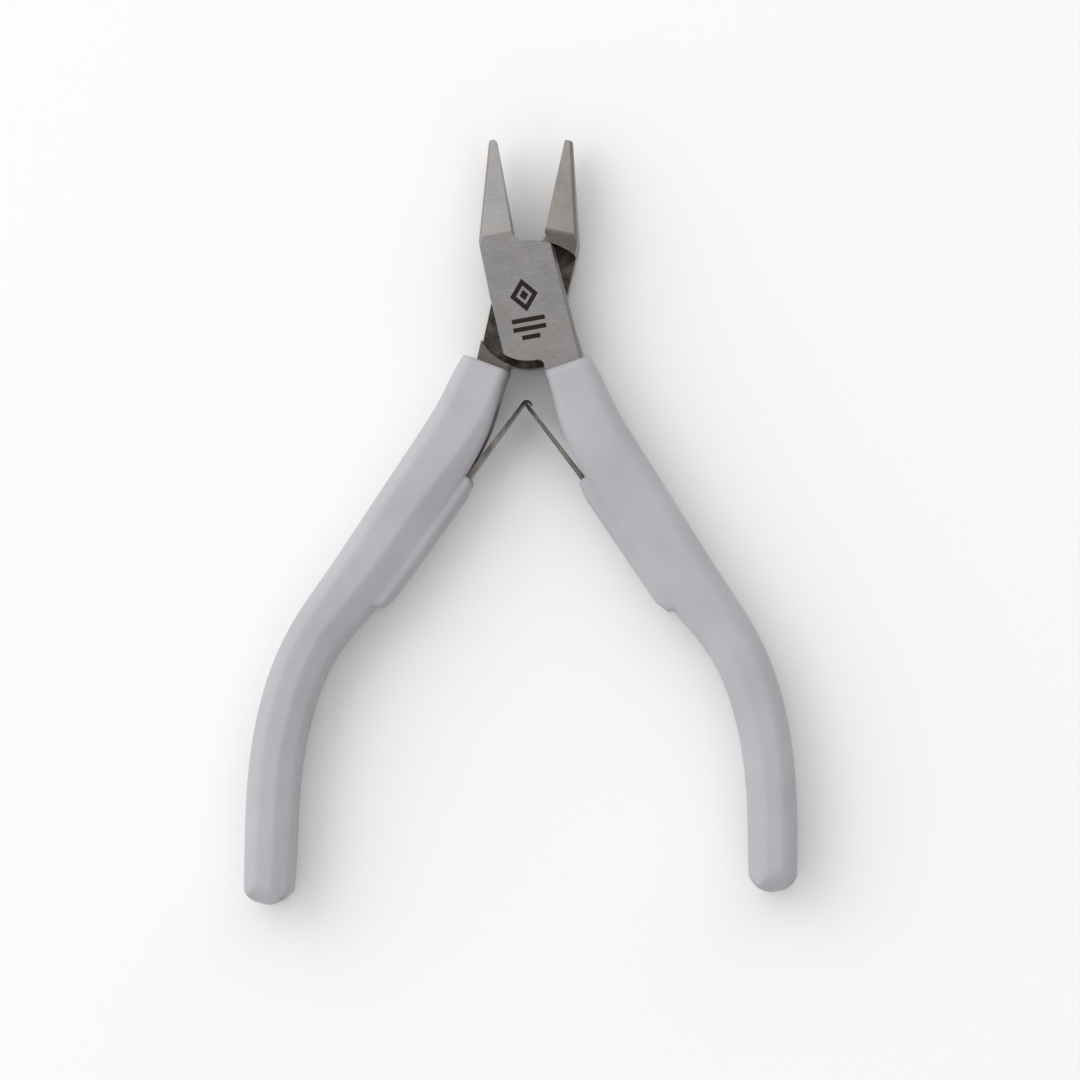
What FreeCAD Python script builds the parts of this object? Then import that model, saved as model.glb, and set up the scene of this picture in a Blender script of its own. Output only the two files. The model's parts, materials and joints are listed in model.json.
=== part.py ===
"""Flat nose pliers for jewellery making, as an open spring-loaded pair lying flat.

Every lever, grip and leaf is drawn in the frame of the closed tool: the joint axis is the
local Z axis, the tips point along +Y and the lap plane is z = 0.  The rear half is the front
half turned over about Y, so one drawing serves both.  Placements then open the tool.
"""
import FreeCAD, Part
import os
import Sketcher

doc = FreeCAD.newDocument("flat_nose_pliers")
V = FreeCAD.Vector

# ---------------------------------------------------------------- driving sizes
sheet = doc.addObject("Spreadsheet::Sheet", "dims")
rows = 0


def put(**values):
    """Write plain numbers (or expressions) into the sheet under word aliases."""
    global rows
    for alias, value in values.items():
        rows += 1
        sheet.set("A%d" % rows, alias)
        sheet.set("B%d" % rows, str(value))
        sheet.setAlias("B%d" % rows, alias)


# overall set-up: joint position over the bench frame and the opening of each half
put(open_half=10.9, joint_y=33.42, grip_thick=11.4, joint_z="=grip_thick / 2")

# head: laps, round shoulders about the joint and the jaws
put(head_thick=9.0, lap_gap=0.06, lap_top=12.3, lap_low=7.25, shoulder_top=12.45,
    shoulder_low=8.35, rear_low=8.3, jaw_tip=29.45, jaw_crease=14.0, jaw_gap=0.03, tip_wide=1.3,
    tip_thick=3.4, jaw_root=5.6, jaw_root_y=13.2, waist=5.35, waist_y=4.0, foot=4.8,
    lap_side=6.75, rear_side=6.4, lap_side_y=2.0, lap_corner=6.25, lap_corner_y=10.1,
    scoop=2.4, scoop_wide=1.1, scoop_top=13.7, scoop_fit=0.15, tip_round_front=0.72, tip_round_rear=2.5, shoulder_fit=0.15,
    edge_break=0.3)

# steel tang: a full-size root just inside the grip mouth, then a slim bar
put(root_in=3.65, root_out=2.6, rear_out=1.5, root_half=3.1, root_depth=1.8, tang_thick=5.0,
    tang_top=4.4, tang_low=3.2, tang_past=6.0)

# joint screw from the rear, blind in the front lap
put(shank=2.5, head_round=3.5, screw_head=1.5, head_sink=0.15, thread_deep=3.1,
    pivot_fit=0.04, slot_wide=0.9, slot_deep=0.8)

# thumb block and leaf springs
put(block_thick=7.9, block_round=1.3, root_x=5.2, root_low=-29.3, leaf=17.2,
    leaf_thick=0.9, leaf_tip=0.6, leaf_wide=4.2, bead=0.6, leaf_fit=0.06, tip_fit=0.18,
    leaf_side_fit=0.15, slot_reach=16.5, slot_flare=0.85)
put(hook_end=45, hook_wall=0.38, hook_in="=leaf_tip / 2 + tip_fit",
    hook_out="=hook_in + hook_wall",
    leaf_root_x="=root_x * cos(open_half) - root_low * sin(open_half)",
    leaf_root_y="=root_x * sin(open_half) + root_low * cos(open_half)",
    leaf_turn="=asin(leaf_root_x / leaf) / 1 deg", leaf_open="=leaf_turn - open_half",
    leaf_shut="=asin(root_x / leaf) / 1 deg")

# grip stations: centre, lean of the handle axis, width, inner and outer facet
stations = {
    "mouth": (5.05, -8.75, 9.0, 7.7, 0.9, 1.4),
    "neck": (6.55, -16.5, 15.0, 9.2, 1.8, 1.7),
    "collar": (9.15, -25.0, 19.5, 10.1, 3.1, 1.8),
    "palm": (13.9, -37.0, 22.8, 10.3, 4.0, 1.9),
    "bow": (19.25, -49.2, 23.3, 9.6, 3.9, 2.0),
    "bend": (23.55, -58.5, 17.0, 8.55, 3.5, 2.0),
    "waistline": (25.5, -67.9, 7.0, 8.3, 3.2, 2.1),
    "heel": (25.55, -79.0, -3.5, 8.1, 3.2, 2.1),
    "tail": (24.15, -89.5, -9.5, 8.0, 3.1, 2.1),
    "butt": (22.97, -96.4, -9.8, 7.75, 3.0, 2.05),
    "end": (21.75, -103.5, -10.0, 7.4, 2.9, 2.0),
}
for station, values in stations.items():
    put(**{station + "_" + part: value for part, value in
           zip(("x", "y", "lean", "wide", "inner", "outer"), values)})
put(right_end=98.4, left_end=101.7, end_half=4.05, end_round=4.1, end_drop=3.46,
    end_ease=3.4, outer_slope=0.8, inner_slope=0.5, outer_round=2.0, inner_round=1.3,
    flat_skim=0.05)
doc.recompute()


def value(expression):
    result = sheet.evalExpression(str(expression))
    return float(getattr(result, "Value", result))


def on(body, role):
    return [f for f in body.Origin.OriginFeatures if f.Role == role][0]


def bind(thing, **links):
    for path, expression in links.items():
        thing.setExpression(path.replace("__", "."), expression)


def d(expression):
    """Give bare aliases their sheet name, so one spelling works in every expression."""
    words, out = "", ""
    for c in expression + " ":
        if c.isalnum() or c == "_":
            words += c
        else:
            named = words and words in aliases
            out += ("dims." + words if named else words) + c
            words = ""
    return out.strip()


aliases = {sheet.get("A%d" % (n + 1)) for n in range(rows)}


def outline(body, name, corners, role="XY_Plane"):
    """Closed sketch through corners (x, y) or (x, y, r): r bends the way to the next one.

    A positive r bulges to the right of the direction of travel, a negative one to the left.
    """
    sketch = body.newObject("Sketcher::SketchObject", name)
    sketch.AttachmentSupport = (on(body, role), [""])
    sketch.MapMode = "FlatFace"
    at = [V(value(d(c[0])), value(d(c[1])), 0) for c in corners]
    for n, corner in enumerate(corners):
        a, b = at[n], at[(n + 1) % len(at)]
        if len(corner) == 3:
            r = value(d(corner[2]))
            half = (b - a) / 2
            left = V(-half.y, half.x, 0).normalize()
            rise = max(r * r - half.Length ** 2, 0) ** 0.5
            side = 1 if r > 0 else -1
            centre = a + half + left * rise * side
            middle = centre - left * abs(r) * side
            ring = (a, middle, b) if side > 0 else (b, middle, a)
            sketch.addGeometry(Part.Arc(*ring), False)
        else:
            sketch.addGeometry(Part.LineSegment(a, b), False)
    ends = []
    for n, corner in enumerate(corners):
        g = sketch.Geometry[n]
        forward = (g.StartPoint - at[n]).Length < 1e-6
        ends.append((1, 2) if forward else (2, 1))
    for n, corner in enumerate(corners):
        m = (n + 1) % len(corners)
        sketch.addConstraint(Sketcher.Constraint("Coincident", n, ends[n][1], m, ends[m][0]))
        for kind, side in (("DistanceX", 0), ("DistanceY", 1)):
            c = sketch.addConstraint(Sketcher.Constraint(
                kind, -1, 1, n, ends[n][0], (at[n].x, at[n].y)[side]))
            sketch.setExpression("Constraints[%d]" % c, d(corner[side]))
        if len(corner) == 3:
            c = sketch.addConstraint(Sketcher.Constraint("Radius", n, abs(value(d(corner[2])))))
            sketch.setExpression("Constraints[%d]" % c, "abs(" + d(corner[2]) + ")")
    return sketch


def grow(body, name, sketch, length, both=True, kind="PartDesign::Pad", reverse=False):
    feature = body.newObject(kind, name)
    feature.Profile = sketch
    feature.Midplane = both
    feature.Reversed = reverse
    bind(feature, Length=d(length))
    sketch.Visibility = False
    return feature


def cut(body, name, sketch, length, both=True, reverse=False):
    """Pocket that must take material away."""
    doc.recompute()
    before = body.Shape.Volume
    feature = grow(body, name, sketch, length, both, "PartDesign::Pocket", reverse)
    doc.recompute()
    if before - body.Shape.Volume < 1e-3:
        raise RuntimeError(name + " removes nothing")
    return feature


def circle(body, name, radius, base="0", y="0"):
    sketch = body.newObject("Sketcher::SketchObject", name)
    sketch.AttachmentSupport = (on(body, "XY_Plane"), [""])
    sketch.MapMode = "FlatFace"
    up = value(d(y))
    sketch.addGeometry(Part.Circle(V(0, up, 0), V(0, 0, 1), value(d(radius))), False)
    sketch.addConstraint(Sketcher.Constraint("PointOnObject", 0, 3, -2))
    for c, expression in (
            (Sketcher.Constraint("DistanceY", -1, 1, 0, 3, up), y),
            (Sketcher.Constraint("Radius", 0, value(d(radius))), radius)):
        sketch.setExpression("Constraints[%d]" % sketch.addConstraint(c), d(expression))
    bind(sketch, AttachmentOffset__Base__z=d(base))
    return sketch


def dress(body, name, kind, size, wanted):
    """Fillet or chamfer the edges of the tip feature that `wanted` picks out."""
    doc.recompute()
    base = body.Tip
    edges = ["Edge%d" % (n + 1) for n, e in enumerate(base.Shape.Edges) if wanted(e)]
    feature = body.newObject("PartDesign::" + kind, name)
    feature.Base = (base, edges)
    bind(feature, **{"Radius" if kind == "Fillet" else "Size": d(size)})
    doc.recompute()
    return feature


def at(station, across, along):
    """Point in a station's own directions: outwards across the handle and down along it."""
    c, n = "cos(%s_lean)" % station, "sin(%s_lean)" % station
    return ("%s_x + (%s) * %s + (%s) * %s" % (station, across, c, along, n),
            "%s_y + (%s) * %s - (%s) * %s" % (station, across, n, along, c))


def tang_sketch(body):
    """Slim bar inside the grip, following the handle; used to add it and to hollow the grip."""
    way = [("mouth", "tang_top"), ("palm", "tang_top"), ("bow", "tang_top"),
           ("waistline", "tang_low"), ("heel", "tang_low")]
    down = [at(station, "-%s / 2" % wide, "0") for station, wide in way]
    up = [at(station, "%s / 2" % wide, "0") for station, wide in reversed(way)]
    low = [at("heel", "-tang_low / 2", "tang_past") + ("tang_low * 0.6",),
           at("heel", "tang_low / 2", "tang_past")]
    return outline(body, "tang_line", down + low + up)


def root_sketch(body):
    """Full-size end of the head that enters the grip mouth."""
    return outline(body, "root_line", [
        at("mouth", "-root_half", "-0.4"), at("mouth", "-root_half", "root_depth"),
        at("mouth", "rear_out - 0.3", "root_depth"), at("mouth", "rear_out - 0.3", "-0.4")])


def lever(name, front):
    body = doc.addObject("PartDesign::Body", name)
    body.Label = name

    # jaw, lap and tang root in plan, at the full thickness of the head
    tip = "tip_round_front" if front else "tip_round_rear"
    low = "lap_low" if front else "rear_low"
    tip_y = "jaw_tip - " + tip + " + sqrt(" + tip + " ^ 2 - (tip_wide - jaw_gap) ^ 2 / 4)"
    plan = outline(body, "plan_line", [
        ("-jaw_gap", tip_y, tip), ("-tip_wide", tip_y),
        ("-jaw_root", "jaw_root_y"), ("-waist", "waist_y"),
        ("-foot", "-sqrt(" + low + " ^ 2 - foot ^ 2)", low),
        ("0.45", "-sqrt(" + low + " ^ 2 - 0.45 ^ 2)", "-1.0"),
        at("mouth", "-root_in", "-0.9"), at("mouth", "-root_in", "0"),
        at("mouth", "root_out" if front else "rear_out", "0"),
        ("lap_side" if front else "rear_side", "lap_side_y"),
        ("lap_corner", "lap_corner_y"),
        ("lap_corner - 0.35", "sqrt(lap_top ^ 2 - (lap_corner - 0.35) ^ 2)", "lap_top"),
        ("scoop_wide", "sqrt(lap_top ^ 2 - scoop_wide ^ 2)", "0 - scoop"),
        ("-jaw_gap", "scoop_top")])
    grow(body, "head", plan, "head_thick")

    # the lap of the other half swings in this step, between the two round shoulders
    low = "(rear_low + shoulder_fit)" if front else "shoulder_low"
    step = outline(body, "step_line", [
        ("-sqrt(shoulder_top ^ 2 - 9)", "3"), ("-sqrt(" + low + " ^ 2 - 1)", "-1", low),
        ("sqrt(" + low + " ^ 2 - 1)", "-1"), ("sqrt(shoulder_top ^ 2 - 9)", "3",
                                              "shoulder_top")])
    bind(step, AttachmentOffset__Base__z=d("lap_gap / 2"))
    cut(body, "lap_step", step, "head_thick", both=False, reverse=False)

    # inner corner of the jaw, eased to pass the scoop of the other lap
    ease = outline(body, "ease_line", [
        ("scoop_wide + 0.5", "scoop_top + scoop_fit"), ("-jaw_gap", "scoop_top + scoop_fit"),
        ("-scoop_wide - 2 * scoop_fit", "shoulder_top - 0.2"),
        ("scoop_wide + 0.5", "shoulder_top - 0.2")])
    bind(ease, AttachmentOffset__Base__z=d("lap_gap / 2"))
    cut(body, "corner_ease", ease, "head_thick", both=False)

    # the jaws thin towards the tip from a straight crease, front and rear
    for side, sign in (("front", ""), ("rear", "-")):
        wedge = outline(body, side + "_wedge", [
            ("jaw_crease", sign + "(head_thick / 2)"),
            ("jaw_tip + 2", sign + "(tip_thick / 2 - 0.2)"),
            ("jaw_tip + 2", sign + "(head_thick / 2 + 2)"),
            ("jaw_crease", sign + "(head_thick / 2 + 2)")], "YZ_Plane")
        cut(body, side + "_taper", wedge, "jaw_root * 4")
    dress(body, "jaw_edges", "Chamfer", "edge_break * 1.6", lambda e: (
        e.Length > 14 and e.CenterOfMass.y > 18 and e.CenterOfMass.x < -2
        and abs(e.CenterOfMass.z) > 1.5))

    dress(body, "lap_edges", "Chamfer", "edge_break * 1.5", lambda e: (
        e.CenterOfMass.z > value("head_thick / 2") - 0.1 and e.CenterOfMass.x > 6.2
        and e.Length > 1.5))

    # slim tang for the grip and the short full-size root
    grow(body, "root", root_sketch(body), "head_thick - 1.2")
    grow(body, "tang", tang_sketch(body), "tang_thick")

    # joint: blind thread in the front lap, running bore and head seat in the rear one
    if front:
        cut(body, "thread_hole", circle(body, "thread_line", "shank"), "thread_deep", False, True)
    else:
        cut(body, "pivot_bore", circle(body, "bore_line", "shank + pivot_fit"),
            "head_thick", False, True)
        cut(body, "head_seat", circle(body, "seat_line", "head_round + 2 * pivot_fit",
                                      "head_thick / 2 - screw_head - head_sink - pivot_fit"),
            "head_thick", False, True)
    return body


def grip(name, end):
    body = doc.addObject("PartDesign::Body", name)
    body.Label = name

    # eight-sided sleeve through the stations; the inner facet widens from the mouth down
    rings = []
    for station in stations:
        w, t = "%s_wide / 2" % station, "(grip_thick / 2 + flat_skim)"
        i, o = station + "_inner", station + "_outer"
        corners = [
            (w, t + " - outer_slope * " + o), (w + " - " + o, t),
            ("-" + w + " + " + i, t), ("-" + w, t + " - inner_slope * " + i),
            ("-" + w, "-" + t + " + inner_slope * " + i), ("-" + w + " + " + i, "-" + t),
            (w + " - " + o, "-" + t), (w, "-" + t + " + outer_slope * " + o)]
        ring = outline(body, station + "_ring", corners, "XZ_Plane")
        ring.AttachmentOffset = FreeCAD.Placement(V(), FreeCAD.Rotation(V(0, 1, 0), 1))
        bind(ring, AttachmentOffset__Base__x=d(station + "_x"),
             AttachmentOffset__Base__z=d("-" + station + "_y"),
             AttachmentOffset__Rotation__Angle=d(station + "_lean"))
        rings.append(ring)
    sleeve = body.newObject("PartDesign::AdditiveLoft", "sleeve")
    sleeve.Profile = rings[0]
    sleeve.Sections = rings[1:]
    sleeve.Ruled = False
    middle = value("(bend_x + bow_x) / 2")
    dress(body, "outer_edges", "Fillet", "outer_round", lambda e: (
        e.Length > 60 and e.CenterOfMass.x > middle - 2))
    dress(body, "inner_edges", "Fillet", "inner_round", lambda e: (
        e.Length > 60 and e.CenterOfMass.x < middle - 6.5))

    # the broad flats are skimmed to true planes, so that the grip lies flat
    for side, sign in (("front", ""), ("rear", "-")):
        skim = outline(body, side + "_skim_line", [
            ("0", sign + "grip_thick / 2"), ("0", sign + "(grip_thick / 2 + 1)"),
            ("-left_end - 2", sign + "(grip_thick / 2 + 1)"),
            ("-left_end - 2", sign + "grip_thick / 2")], "YZ_Plane")
        cut(body, side + "_skim", skim, "grip_thick * 8")

    # rounded lower end: a half circle in plan, then the front and rear rims eased
    low = "(" + end + " + tail_y) / cos(tail_lean) - end_drop"
    cut(body, "plan_end", outline(body, "plan_end_line", [
        at("tail", "-end_half", low) + ("end_round",), at("tail", "end_half", low),
        at("tail", "7", low), at("tail", "7", low + " + 8"),
        at("tail", "-7", low + " + 8"), at("tail", "-7", low)]), "grip_thick * 2")
    back, out = "end_ease - " + end, "grip_thick / 2"
    cut(body, "side_end", outline(body, "side_end_line", [
        (back, out), (back, out + " + 2"), ("-" + end + " - 8", out + " + 2"),
        ("-" + end + " - 8", "-" + out + " - 2"), (back, "-" + out + " - 2"),
        (back, "-" + out, "-end_ease"), ("-" + end, "end_ease - " + out),
        ("-" + end, out + " - end_ease", "-end_ease")], "YZ_Plane"), "grip_thick * 8")

    # thumb block on the inner side, its long edges rounded
    block = outline(body, "block_line", [
        ("palm_x", "palm_y"), ("5.9", "-26.6"), ("4.4", "-27.35", "1.2"), ("3.6", "-28.9"),
        ("4.3", "-31.4"), ("12.3", "-49.3"), ("13.9", "-51.0", "-2.6"),
        ("16.9", "-53.0"), ("bow_x", "bow_y")])
    grow(body, "thumb_block", block, "block_thick")
    dress(body, "block_edges", "Fillet", "block_round", lambda e: (
        abs(abs(e.CenterOfMass.z) - value("block_thick / 2")) < 0.01
        and 15 < e.Length < 22 and e.CenterOfMass.x < 9))

    # hollows: the steel root and tang, and the leaf's round seat with room to swing
    cut(body, "root_hollow", root_sketch(body), "head_thick - 1.2")
    cut(body, "tang_hollow", tang_sketch(body), "tang_thick")
    wide = "leaf_wide + 2 * leaf_side_fit"
    seat = circle(body, "seat_line", "bead + leaf_fit")
    bind(seat, AttachmentOffset__Base__x=d("root_x"), AttachmentOffset__Base__y=d("root_low"))
    cut(body, "leaf_seat", seat, wide)

    def beside(turn, across, along):
        return ("root_x + (%s) * cos(%s) - (%s) * sin(%s)" % (across, turn, along, turn),
                "root_low + (%s) * sin(%s) + (%s) * cos(%s)" % (across, turn, along, turn))
    half = "(leaf_thick / 2 + 2 * leaf_fit)"
    cut(body, "leaf_way", outline(body, "leaf_way_line", [
        beside("leaf_shut", half, "0"),
        beside("leaf_shut", half + " + slot_flare", "slot_reach"),
        beside("leaf_open", "-" + half, "slot_reach"),
        beside("leaf_open", "-" + half, "0")]), wide)
    return body


def leaf(name, hooked):
    """Spring leaf along +Y from its root bead to the meeting point of the two leaves."""
    body = doc.addObject("PartDesign::Body", name)
    body.Label = name
    half = "leaf_thick / 2"
    if hooked:
        turn = "hook_end"
        strip = outline(body, "strip_line", [
            ("-" + half, "0"), (half, "0"), ("-hook_in", "leaf", "-hook_in"),
            ("hook_in * cos(hook_end)", "leaf + hook_in * sin(hook_end)"),
            ("hook_out * cos(hook_end)", "leaf + hook_out * sin(hook_end)", "hook_out"),
            ("-hook_out", "leaf")])
        grow(body, "strip", strip, "leaf_wide")
    else:
        strip = outline(body, "strip_line", [
            ("-" + half, "0"), (half, "0"), ("leaf_tip / 2", "leaf", "leaf_tip * 0.52"),
            ("-leaf_tip / 2", "leaf")])
        grow(body, "strip", strip, "leaf_wide")
    grow(body, "root_roll", circle(body, "roll_line", "bead"), "leaf_wide")
    return body


def screw(name):
    body = doc.addObject("PartDesign::Body", name)
    body.Label = name
    under = "screw_head + head_sink - head_thick / 2"
    grow(body, "shank", circle(body, "shank_line", "shank", under),
         "thread_deep - (" + under + ")", both=False)
    grow(body, "head", circle(body, "head_line", "head_round", under), "screw_head",
         both=False, reverse=True)
    dress(body, "head_edge", "Chamfer", "edge_break", lambda e: (
        e.CenterOfMass.z < value("head_sink - head_thick / 2") + 0.1
        and e.Length > 6 * value("shank * 0.8")))
    slot = outline(body, "slot_line", [
        ("-slot_wide / 2", "-head_round - 1"), ("slot_wide / 2", "-head_round - 1"),
        ("slot_wide / 2", "head_round + 1"), ("-slot_wide / 2", "head_round + 1")])
    bind(slot, AttachmentOffset__Base__z=d("head_sink + slot_deep - head_thick / 2"))
    cut(body, "slot", slot, "slot_deep + 1", both=False)
    return body


# ---------------------------------------------------------------- the assembly
front_lever, rear_lever = lever("front_lever", True), lever("rear_lever", False)
joint_screw = screw("joint_screw")
right_grip, left_grip = grip("right_grip", "right_end"), grip("left_grip", "left_end")
left_leaf, right_leaf = leaf("left_leaf", True), leaf("right_leaf", False)


def stand(part, x="0", y="0", turn=None):
    """Place a part about the joint; turn=None turns it over as part of the rear half."""
    bind(part, Placement__Base__x=d(x), Placement__Base__y=d("joint_y + (" + y + ")"),
         Placement__Base__z=d("joint_z"))
    if turn is None:
        bind(part, Placement__Rotation__Axis__x=d("sin(open_half / 2)"),
             Placement__Rotation__Axis__y=d("cos(open_half / 2)"),
             Placement__Rotation__Axis__z="0", Placement__Rotation__Angle="180")
    else:
        bind(part, Placement__Rotation__Axis__x="0", Placement__Rotation__Axis__y="0",
             Placement__Rotation__Axis__z="1", Placement__Rotation__Angle=d(turn))


for part in (front_lever, joint_screw, right_grip):
    stand(part, turn="open_half")
for part in (rear_lever, left_grip):
    stand(part)
stand(right_leaf, "leaf_root_x", "leaf_root_y", "leaf_turn")
stand(left_leaf, "-leaf_root_x", "leaf_root_y", "-leaf_turn")
doc.recompute()

bad = [o.Name for o in doc.Objects if "Invalid" in o.State or "Error" in o.State]
if bad:
    raise RuntimeError("not built: " + ", ".join(bad))
os.makedirs("parts", exist_ok=True)
for part in (front_lever, rear_lever, joint_screw, right_grip, left_grip, left_leaf, right_leaf):
    if part.Shape.isNull() or not part.Shape.isValid() or len(part.Shape.Solids) != 1:
        raise RuntimeError("bad shape: " + part.Label)
    part.Shape.exportStep("parts/" + part.Label + ".step")
    print("%-12s %9.1f mm3" % (part.Label, part.Shape.Volume), part.Shape.BoundBox)
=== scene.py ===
import bpy
import json
import math
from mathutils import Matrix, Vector


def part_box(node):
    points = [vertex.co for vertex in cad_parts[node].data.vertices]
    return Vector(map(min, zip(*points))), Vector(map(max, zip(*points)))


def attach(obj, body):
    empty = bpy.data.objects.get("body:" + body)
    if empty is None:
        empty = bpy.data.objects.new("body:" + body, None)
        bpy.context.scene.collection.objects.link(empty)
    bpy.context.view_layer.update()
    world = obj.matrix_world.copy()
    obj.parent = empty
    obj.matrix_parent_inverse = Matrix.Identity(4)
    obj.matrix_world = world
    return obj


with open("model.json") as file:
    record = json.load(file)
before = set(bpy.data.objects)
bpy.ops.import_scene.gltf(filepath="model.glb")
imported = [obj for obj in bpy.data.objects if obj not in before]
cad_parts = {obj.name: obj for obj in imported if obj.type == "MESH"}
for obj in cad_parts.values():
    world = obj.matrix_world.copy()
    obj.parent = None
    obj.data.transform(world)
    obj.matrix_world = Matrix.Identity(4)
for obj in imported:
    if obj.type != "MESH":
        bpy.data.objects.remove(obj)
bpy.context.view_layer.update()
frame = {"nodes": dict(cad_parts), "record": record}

# Levers: two forged tool-steel halves, each a jaw, a flat lap and a tang. They are ground on a
# belt and left bare, and the faces hidden in the lap joint keep their dark scale; the recess
# round the joint is also painted darker as painted shade. The joint screw holds the two laps
# together.
nodes = frame["nodes"]
pivot = next(j for j in frame["record"]["behaviour"]["joints"] if j["name"] == "jaw_pivot")
px, py, pz = pivot["pos_m"]
mm = 0.001
half_open = 10.9                                 # degrees that each half stands out from closed
step_walls = (8.35 * mm, 12.45 * mm, 7.25 * mm)  # radii of the round steps beside the laps
wall_fit = 0.03 * mm                             # how near a point lies to such a radius
wall_facing = 0.96                               # a step wall faces the joint axis this squarely
scale_shade_full, scale_shade_gone = 0.35 * mm, 0.6 * mm     # height off the lap plane where the scale and painted shade fade
scale_shade_reach = 12.6 * mm                          # the scale and painted shade end this far from the joint axis
outer_face = 4.42 * mm                           # the ground outer faces begin at this height
flat_low, flat_high = 4.38 * mm, 4.44 * mm       # the outer faces take their own tone here
edge_round = 0.12 * mm                           # ground edges, broken by hand
line_deep = 0.02 * mm                            # depth of the grinding lines


def srgb(code):
    """Linear RGBA of an sRGB hex colour."""
    parts = [int(code[i:i + 2], 16) / 255 for i in (0, 2, 4)]
    return [c / 12.92 if c <= 0.04045 else ((c + 0.055) / 1.055) ** 2.4 for c in parts] + [1.0]


def add(material, kind, sockets=None, **values):
    """One shader node. sockets holds links or plain values, by socket name or number; values
    holds the node's settings and its sockets by name, with _ for a space."""
    node = material.node_tree.nodes.new(kind)
    for name, value in values.items():
        if hasattr(node, name):
            setattr(node, name, value)
        else:
            node.inputs[name.replace("_", " ")].default_value = value
    for name, source in (sockets or {}).items():
        if isinstance(source, bpy.types.NodeSocket):
            material.node_tree.links.new(source, node.inputs[name])
        else:
            node.inputs[name].default_value = source
    return node


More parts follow.
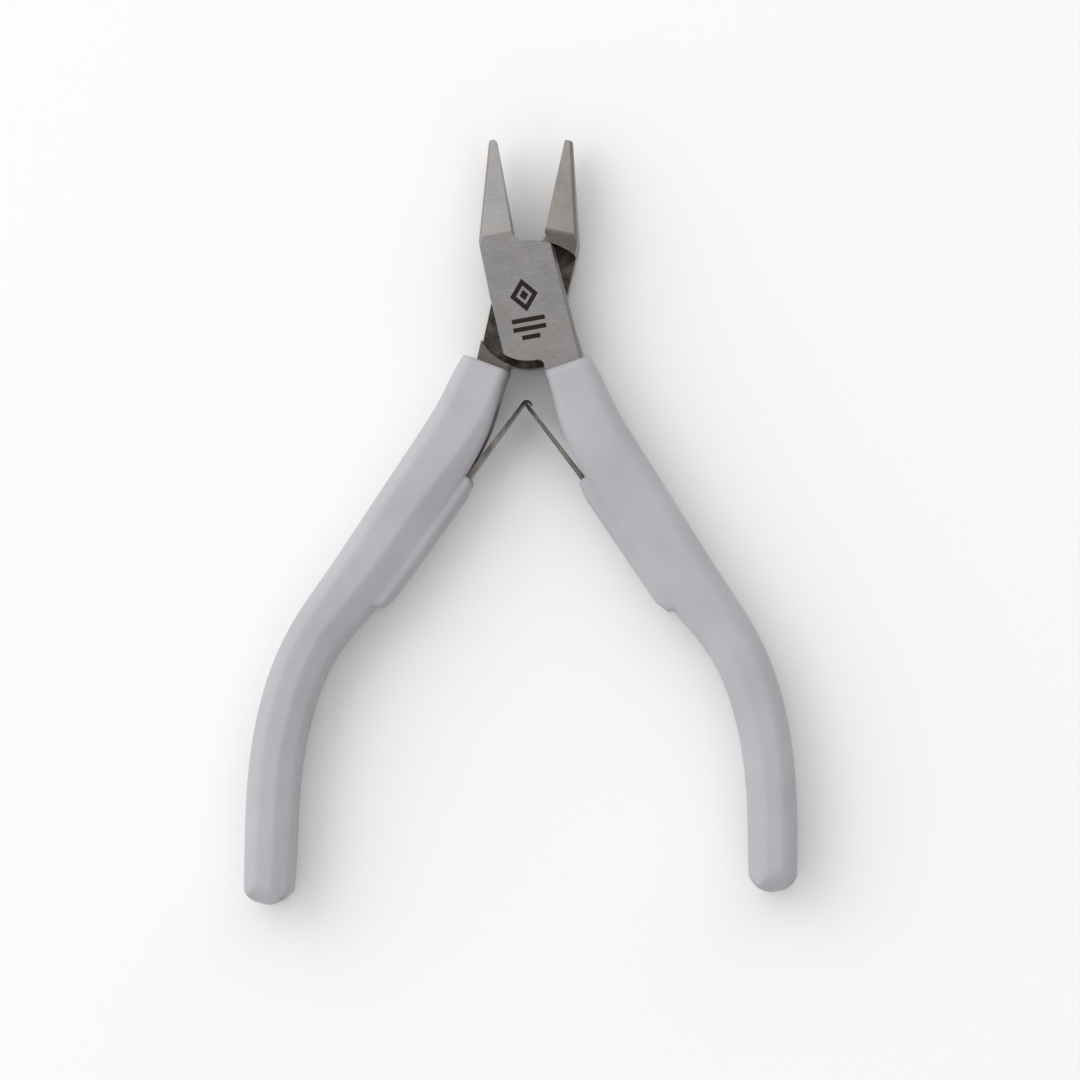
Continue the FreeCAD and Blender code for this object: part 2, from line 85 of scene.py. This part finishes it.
def ground_steel(name, tone, lines, turn, rough, flats=1.0, stain=None):
    """Belt-ground bare tool steel: a satin grey that breaks up into fine parallel lines, with
    faint cloudy and warm patches, and matt brown-black scale inside the joint, darkened there
    further as painted shade in the recess. lines holds the grinding lines per metre along each
    axis after a turn in degrees. flats is the tone of the outer faces against the rest. stain is
    a point whose surroundings are worn black."""
    steel = bpy.data.materials.new(name)
    steel.use_nodes = True
    bsdf = steel.node_tree.nodes["Principled BSDF"]
    bsdf.inputs["Metallic"].default_value = 1.0
    where = add(steel, "ShaderNodeTexCoord")
    place = where.outputs["Object"]
    spin = add(steel, "ShaderNodeMapping", {"Vector": place},
               Rotation=(0, 0, math.radians(turn)), Scale=lines)
    grain = add(steel, "ShaderNodeTexNoise", {"Vector": spin.outputs["Vector"]},
                Scale=1.0, Detail=5.0, Roughness=0.6)
    shade = add(steel, "ShaderNodeMapRange", {"Value": grain.outputs["Fac"]},
                From_Min=0.3, From_Max=0.7, To_Min=0.82, To_Max=1.12)
    # clouds about 4 mm across, from uneven pressure on the belt
    cloud = add(steel, "ShaderNodeTexNoise", {"Vector": place}, Scale=0.26 / mm, Detail=3.0)
    blotch = add(steel, "ShaderNodeMapRange", {"Value": cloud.outputs["Fac"]},
                 From_Min=0.3, From_Max=0.7, To_Min=0.93, To_Max=1.05)
    both = add(steel, "ShaderNodeMath",
               {0: shade.outputs["Result"], 1: blotch.outputs["Result"]}, operation="MULTIPLY")

    # scale and painted shade on the lap faces: all that lies near the lap plane and near the joint
    # axis
    part = add(steel, "ShaderNodeSeparateXYZ", {"Vector": place})
    high = add(steel, "ShaderNodeMath", {0: part.outputs["Z"], 1: pz}, operation="SUBTRACT")
    far = add(steel, "ShaderNodeMath", {0: high.outputs["Value"]}, operation="ABSOLUTE")
    near = add(steel, "ShaderNodeMapRange", {"Value": far.outputs["Value"]},
               From_Min=scale_shade_full, From_Max=scale_shade_gone, To_Min=1.0, To_Max=0.0)
    level = add(steel, "ShaderNodeVectorMath", {0: place, 1: (px, py, 0)},
                operation="SUBTRACT")
    flat = add(steel, "ShaderNodeVectorMath", {0: level.outputs["Vector"], 1: (1, 1, 0)},
               operation="MULTIPLY")
    radius = add(steel, "ShaderNodeVectorMath", {0: flat.outputs["Vector"]}, operation="LENGTH")
    ring = add(steel, "ShaderNodeMath", {0: radius.outputs["Value"], 1: scale_shade_reach},
               operation="LESS_THAN")
    lap = add(steel, "ShaderNodeMath", {0: near.outputs["Result"], 1: ring.outputs["Value"]},
              operation="MULTIPLY")
    scale_wear_and_shade = lap.outputs["Value"]

    # scale and painted shade on the round step walls, which face the joint axis, and not on the
    # levers' sides
    ray = add(steel, "ShaderNodeVectorMath", {0: flat.outputs["Vector"]}, operation="NORMALIZE")
    along = add(steel, "ShaderNodeVectorMath",
                {0: ray.outputs["Vector"], 1: where.outputs["Normal"]}, operation="DOT_PRODUCT")
    facing = add(steel, "ShaderNodeMath", {0: along.outputs["Value"]}, operation="ABSOLUTE")
    square = add(steel, "ShaderNodeMath", {0: facing.outputs["Value"], 1: wall_facing},
                 operation="GREATER_THAN")
    for wall in step_walls:
        on = add(steel, "ShaderNodeMath", {0: radius.outputs["Value"], 1: wall, 2: wall_fit},
                 operation="COMPARE")
        faced = add(steel, "ShaderNodeMath",
                    {0: on.outputs["Value"], 1: square.outputs["Value"]}, operation="MULTIPLY")
        scale_wear_and_shade = add(steel, "ShaderNodeMath", {0: scale_wear_and_shade, 1: faced.outputs["Value"]},
                   operation="MAXIMUM").outputs["Value"]
    inside = add(steel, "ShaderNodeMath", {0: far.outputs["Value"], 1: outer_face},
                 operation="LESS_THAN")
    scale_wear_and_shade = add(steel, "ShaderNodeMath", {0: scale_wear_and_shade, 1: inside.outputs["Value"]},
               operation="MULTIPLY").outputs["Value"]
    if stain:
        gap = add(steel, "ShaderNodeVectorMath", {0: place, 1: stain}, operation="DISTANCE")
        worn = add(steel, "ShaderNodeMapRange", {"Value": gap.outputs["Value"]},
                   From_Min=stain_full, From_Max=stain_gone, To_Min=0.9, To_Max=0.0)
        scale_wear_and_shade = add(steel, "ShaderNodeMath", {0: scale_wear_and_shade, 1: worn.outputs["Result"]},
                   operation="MAXIMUM").outputs["Value"]

    # bare steel, with warm patches about 7 mm across and its own tone on the outer faces
    warm = add(steel, "ShaderNodeTexNoise", {"Vector": place}, Scale=0.14 / mm, Detail=2.0)
    base = add(steel, "ShaderNodeValToRGB", {"Fac": warm.outputs["Fac"]})
    for stop, spot, code in zip(base.color_ramp.elements, (0.42, 0.72), (tone, "9D958E")):
        stop.position = spot
        stop.color = srgb(code)
    top = add(steel, "ShaderNodeMapRange", {"Value": far.outputs["Value"]},
              From_Min=flat_low, From_Max=flat_high, To_Min=1.0, To_Max=flats)
    toned = add(steel, "ShaderNodeMath", {0: both.outputs["Value"], 1: top.outputs["Result"]},
                operation="MULTIPLY")
    bright = add(steel, "ShaderNodeVectorMath",
                 {0: base.outputs["Color"], "Scale": toned.outputs["Value"]}, operation="SCALE")

    # scale in two browns, also standing for painted shade in the recess, scuffed through in spots
    # about 2.5 mm across
    scuff = add(steel, "ShaderNodeTexNoise", {"Vector": place},
                Scale=0.42 / mm, Detail=6.0, Roughness=0.65)
    oxide_and_shade = add(steel, "ShaderNodeValToRGB", {"Fac": scuff.outputs["Fac"]})
    for stop, spot, code in zip(oxide_and_shade.color_ramp.elements, (0.40, 0.72), ("35322E", "6E675F")):
        stop.position = spot
        stop.color = srgb(code)
    # the recess mask mixes in real scale together with painted shade
    colour = add(steel, "ShaderNodeMix",
                 {"Factor": scale_wear_and_shade, 6: bright.outputs["Vector"], 7: oxide_and_shade.outputs["Color"]},
                 data_type="RGBA")
    steel.node_tree.links.new(colour.outputs[2], bsdf.inputs["Base Color"])

    dull = add(steel, "ShaderNodeMapRange", {"Value": grain.outputs["Fac"]},
               From_Min=0.3, From_Max=0.7, To_Min=rough - 0.06, To_Max=rough + 0.08)
    steel.node_tree.links.new(dull.outputs["Result"], bsdf.inputs["Roughness"])
    edge = add(steel, "ShaderNodeBevel", samples=4, Radius=edge_round)
    bump = add(steel, "ShaderNodeBump",
               {"Height": grain.outputs["Fac"], "Normal": edge.outputs["Normal"]},
               Strength=0.25, Distance=line_deep)
    steel.node_tree.links.new(bump.outputs["Normal"], bsdf.inputs["Normal"])
    return steel


# The lines run across each lap and jaw, square to the lever's length. A medium belt leaves about
# 20 lines in a millimetre; they are drawn coarser, 9 in a millimetre and 1.1 mm long, to show.
belt_lines = (0.9 / mm, 9 / mm, 9 / mm)
for name, steel in (
        ("front_lever",
         ground_steel("front_steel", "999799", belt_lines, -half_open, 0.40, 0.97)),
        ("rear_lever",
         ground_steel("rear_steel", "8F8A86", belt_lines, half_open, 0.38, 0.52))):
    nodes[name].data.materials.clear()
    nodes[name].data.materials.append(steel)

# Joint screw: turned steel, screwed from behind through the rear lap into the front one. Turning
# leaves its head an even grain, 3 marks in a millimetre.
nodes["joint_screw"].data.materials.clear()
nodes["joint_screw"].data.materials.append(
    ground_steel("screw_steel", "8C8B8D", (3 / mm, 3 / mm, 9 / mm), 0, 0.35))

# Return spring: two leaves of rolled spring steel, dark and shiny, black where their ends rub.
# Their round roots sit in the grips, and the left leaf hooks round the end of the right one.
# Rolling leaves fine lines along the strip, drawn 1.4 mm long.
leaf_lean = 37.2                                 # degrees between a leaf and the middle line
stain_full, stain_gone = 2.4 * mm, 3.4 * mm      # the black fades between these distances
hook_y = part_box("left_leaf")[1][1] - 0.5 * mm
for name, turn, tone in (("left_leaf", leaf_lean, "504A47"), ("right_leaf", -leaf_lean, "6A6562")):
    nodes[name].data.materials.clear()
    nodes[name].data.materials.append(
        ground_steel(name + "_steel", tone, (9 / mm, 0.7 / mm, 9 / mm), turn, 0.30,
                     stain=(0, hook_y, pz)))

# Grips: one moulded sleeve of pale grey plastic on each tang, pushed on. The plastic is matt and
# soft-edged, with a fine mould grain, faint clouds in its tint and a parting line half way up.
grip_edge = 1.5 * mm
seam_half = 0.08 * mm
grain_deep = 0.03 * mm
plastic = bpy.data.materials.new("grip_plastic")
plastic.use_nodes = True
bsdf = plastic.node_tree.nodes["Principled BSDF"]
place = add(plastic, "ShaderNodeTexCoord").outputs["Object"]
# the mould grain is about 0.1 mm, drawn at 0.3 mm to show
grain = add(plastic, "ShaderNodeTexNoise", {"Vector": place}, Scale=3.2 / mm, Detail=2.0)
# clouds about 11 mm across
cloud = add(plastic, "ShaderNodeTexNoise", {"Vector": place}, Scale=0.09 / mm, Detail=3.0)
tint = add(plastic, "ShaderNodeValToRGB", {"Fac": cloud.outputs["Fac"]})
for stop, spot, code in zip(tint.color_ramp.elements, (0.35, 0.65), ("AEABB0", "B6B3B8")):
    stop.position = spot
    stop.color = srgb(code)
plastic.node_tree.links.new(tint.outputs["Color"], bsdf.inputs["Base Color"])
dull = add(plastic, "ShaderNodeMapRange", {"Value": cloud.outputs["Fac"]},
           From_Min=0.3, From_Max=0.7, To_Min=0.48, To_Max=0.58)
plastic.node_tree.links.new(dull.outputs["Result"], bsdf.inputs["Roughness"])
bsdf.inputs["Specular IOR Level"].default_value = 0.35
part = add(plastic, "ShaderNodeSeparateXYZ", {"Vector": place})
seam = add(plastic, "ShaderNodeMath", {0: part.outputs["Z"], 1: pz, 2: seam_half},
           operation="COMPARE")
height = add(plastic, "ShaderNodeMath", {0: grain.outputs["Fac"], 1: seam.outputs["Value"]},
             operation="ADD")
soft = add(plastic, "ShaderNodeBevel", samples=6, Radius=grip_edge)
bump = add(plastic, "ShaderNodeBump",
           {"Height": height.outputs["Value"], "Normal": soft.outputs["Normal"]},
           Strength=0.12, Distance=grain_deep)
plastic.node_tree.links.new(bump.outputs["Normal"], bsdf.inputs["Normal"])
for name in ("left_grip", "right_grip"):
    nodes[name].data.materials.clear()
    nodes[name].data.materials.append(plastic)

# Mark: burnt into the front lap by a laser, an open lozenge round a small one over three bars. It
# is a plain device without lettering. Each stroke is a thin flat patch that stands on the lap.
# Its sizes are in millimetres from the joint axis, in the lap's own directions.
lap_turn = math.radians(half_open)
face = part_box("front_lever")[1][2] + 0.004 * mm
mark_x, lozenge_y = 0.1, 3.4
lozenges = ((4.6, 5.4, 0.75), (1.5, 1.8, 0.0))   # width, height, and outline if it is open
bars = ((-0.6, 5.4), (-2.0, 5.4), (-3.4, 3.0))   # place along the lap, and width
bar_tall = 0.75
stroke_round = 0.12


def stroke(x, y, wide, tall, bar=True, ring=0.0):
    """One patch of the mark: a bar or a lozenge, solid or, with ring, an open outline."""
    bpy.ops.object.select_all(action="DESELECT")
    spot = (px + (x * math.cos(lap_turn) - y * math.sin(lap_turn)) * mm,
            py + (x * math.sin(lap_turn) + y * math.cos(lap_turn)) * mm, face)
    if bar:
        bpy.ops.mesh.primitive_plane_add(size=1 * mm, location=spot, rotation=(0, 0, lap_turn))
    else:
        bpy.ops.mesh.primitive_circle_add(vertices=4, radius=0.5 * mm, fill_type="NGON",
                                          location=spot, rotation=(0, 0, lap_turn))
    patch = bpy.context.object
    patch.scale = (wide, tall, 1)
    bpy.ops.object.transform_apply(location=True, rotation=True, scale=True)
    bpy.ops.object.mode_set(mode="EDIT")
    bpy.ops.mesh.select_all(action="SELECT")
    if ring:
        bpy.ops.mesh.inset(thickness=ring * mm)
        bpy.ops.mesh.delete(type="FACE")
    else:
        bpy.ops.mesh.bevel(offset=stroke_round * mm, segments=3, affect="VERTICES")
    bpy.ops.object.mode_set(mode="OBJECT")
    return patch


strokes = [stroke(mark_x, lozenge_y, wide, tall, False, ring) for wide, tall, ring in lozenges]
strokes += [stroke(mark_x, y, wide, bar_tall) for y, wide in bars]
bpy.ops.object.select_all(action="DESELECT")
for patch in strokes:
    patch.select_set(True)
bpy.context.view_layer.objects.active = strokes[0]
bpy.ops.object.join()
mark = bpy.context.object
mark.name = "laser_mark"
mark.data.name = "laser_mark"

# Laser-burnt steel: a matt brown-black skin of oxide, speckled. The laser's dots are about 0.05 mm
# apart, drawn at 0.25 mm to show.
burnt = bpy.data.materials.new("burnt_mark")
burnt.use_nodes = True
bsdf = burnt.node_tree.nodes["Principled BSDF"]
place = add(burnt, "ShaderNodeTexCoord").outputs["Object"]
speck = add(burnt, "ShaderNodeTexNoise", {"Vector": place}, Scale=4 / mm)
ink = add(burnt, "ShaderNodeValToRGB", {"Fac": speck.outputs["Fac"]})
for stop, code in zip(ink.color_ramp.elements, ("1B1411", "2E241F")):
    stop.color = srgb(code)
burnt.node_tree.links.new(ink.outputs["Color"], bsdf.inputs["Base Color"])
bsdf.inputs["Roughness"].default_value = 0.8
bsdf.inputs["Specular IOR Level"].default_value = 0.2
mark.data.materials.append(burnt)
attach(mark, "front_half")

# Floor: matt white paper, just under the grips. It gives an even near-white ground with soft
# shadows.
bpy.context.scene.view_settings.view_transform = "Standard"
bpy.ops.object.select_all(action="DESELECT")
bpy.ops.mesh.primitive_plane_add(size=6, location=(0, 0, -0.02 * mm))
floor = bpy.context.object
floor.name = "floor"
paper = bpy.data.materials.new("white_paper")
paper.use_nodes = True
paper.node_tree.nodes["Principled BSDF"].inputs["Base Color"].default_value = srgb("F8F8F8")
paper.node_tree.nodes["Principled BSDF"].inputs["Roughness"].default_value = 0.9
floor.data.materials.append(paper)

# Light: a soft white dome that is brighter behind the jaws and a little on the left, and darker
# overhead and low on the right, with one large softbox on the left.
to_the_right, to_the_jaws = -0.1, 0.34           # change of strength from the middle to that side
overhead, low_right = 0.6, 0.15                  # share left straight above and far right
dome = bpy.data.worlds.new("soft_dome")
bpy.context.scene.world = dome
dome.use_nodes = True
toward = add(dome, "ShaderNodeSeparateXYZ",
             {"Vector": add(dome, "ShaderNodeTexCoord").outputs["Generated"]})
sideways = add(dome, "ShaderNodeMath", {0: toward.outputs["X"], 1: to_the_right, 2: 1.0},
               operation="MULTIPLY_ADD")
spread = add(dome, "ShaderNodeMath",
             {0: toward.outputs["Y"], 1: to_the_jaws, 2: sideways.outputs["Value"]},
             operation="MULTIPLY_ADD")
lid = add(dome, "ShaderNodeMapRange", {"Value": toward.outputs["Z"]},
          From_Min=0.84, From_Max=0.985, To_Min=1.05, To_Max=overhead)
dim = add(dome, "ShaderNodeMapRange", {"Value": toward.outputs["X"]},
          From_Min=0.45, From_Max=0.95, To_Min=1.0, To_Max=low_right)
lidded = add(dome, "ShaderNodeMath", {0: spread.outputs["Value"], 1: lid.outputs["Result"]},
             operation="MULTIPLY")
strength = add(dome, "ShaderNodeMath", {0: lidded.outputs["Value"], 1: dim.outputs["Result"]},
               operation="MULTIPLY")
sky = dome.node_tree.nodes["Background"]
dome.node_tree.links.new(strength.outputs["Value"], sky.inputs["Strength"])
sky.inputs["Color"].default_value = srgb("FFFFFF")

bpy.ops.object.light_add(type="AREA", location=(-0.7, 0.45, 0.8))
key = bpy.context.object
key.name = "key_softbox"
key.data.size = 1.0
key.data.energy = 3.0
key.rotation_euler = (-key.location).to_track_quat("-Z", "Y").to_euler()

# Camera: almost straight above, a little to the right of the tool, turned a touch so that the
# jaws lean to the right.
distance, across = 0.7565, 175.2 * mm            # height over the tool, width of the view there
side, up, roll = math.radians(3.0), math.radians(1.6), math.radians(0.78)
target = Vector((2.35 * mm, -2.64 * mm, pz))
film = 36
bpy.ops.object.camera_add()
camera = bpy.context.object
camera.data.sensor_width = film
camera.data.lens = film * distance / across
camera.data.clip_start = 0.01
camera.rotation_mode = "ZXY"
camera.rotation_euler = (up, side, roll)
camera.location = target + camera.rotation_euler.to_matrix() @ Vector((0, 0, distance))
bpy.context.scene.camera = camera
